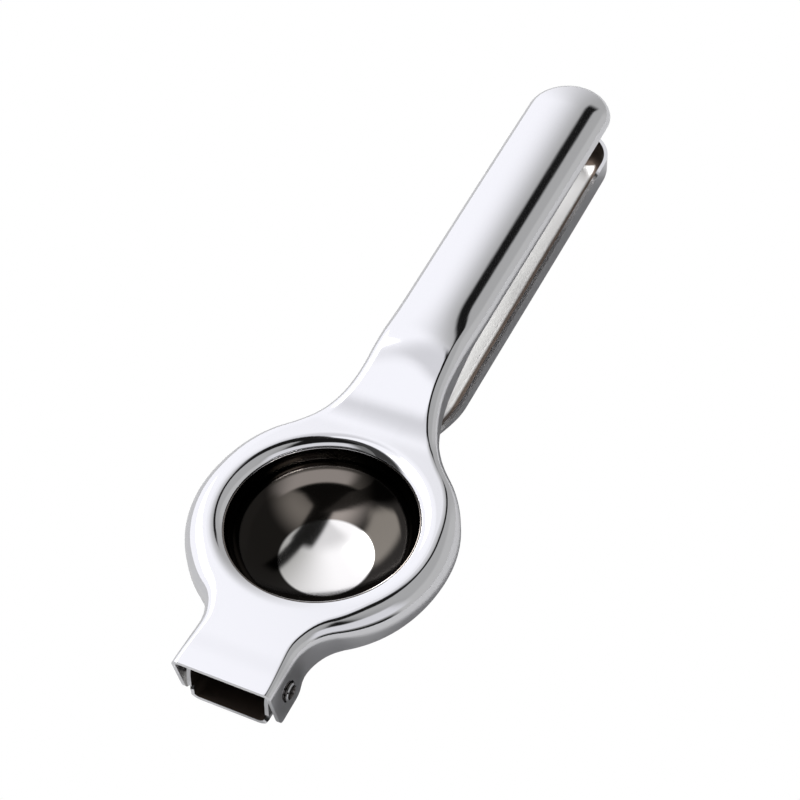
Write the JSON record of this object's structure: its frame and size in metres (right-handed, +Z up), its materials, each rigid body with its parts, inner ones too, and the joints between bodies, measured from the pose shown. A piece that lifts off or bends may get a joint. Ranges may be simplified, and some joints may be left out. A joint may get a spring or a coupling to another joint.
{
  "type": "hand citrus press",
  "caption": "Two-arm pressed-steel citrus squeezer: domed grip, ring with press cup, strainer bowl below, arms hinged on a tubular cross pin.",
  "frame": {"origin": "middle of the press in plan, on the plane that it stands on", "axes": "+X along the hinge pin, +Y from the hinge to the grip ends, +Z up through the ring"},
  "size_m": [0.066, 0.2158, 0.0286],
  "materials": {
    "polished_steel": "mirror-polished stainless steel",
    "drawn_steel": "satin drawn stainless steel",
    "pin_steel": "turned steel"
  },
  "bodies": {
    "lower": {"lower_arm": "polished_steel", "strainer_bowl": "drawn_steel", "hinge_pin": "pin_steel", "spacer_left": "pin_steel", "spacer_right": "pin_steel"},
    "upper": {"upper_arm": "polished_steel", "press_cup": "drawn_steel"}
  },
  "joints": [
    {"name": "arm_hinge", "type": "hinge", "parent": "lower", "child": "upper", "pos_m": [0, -0.1005, 0.0137], "axis": [1, 0, 0], "range_deg": [0, 84]}
  ]
}
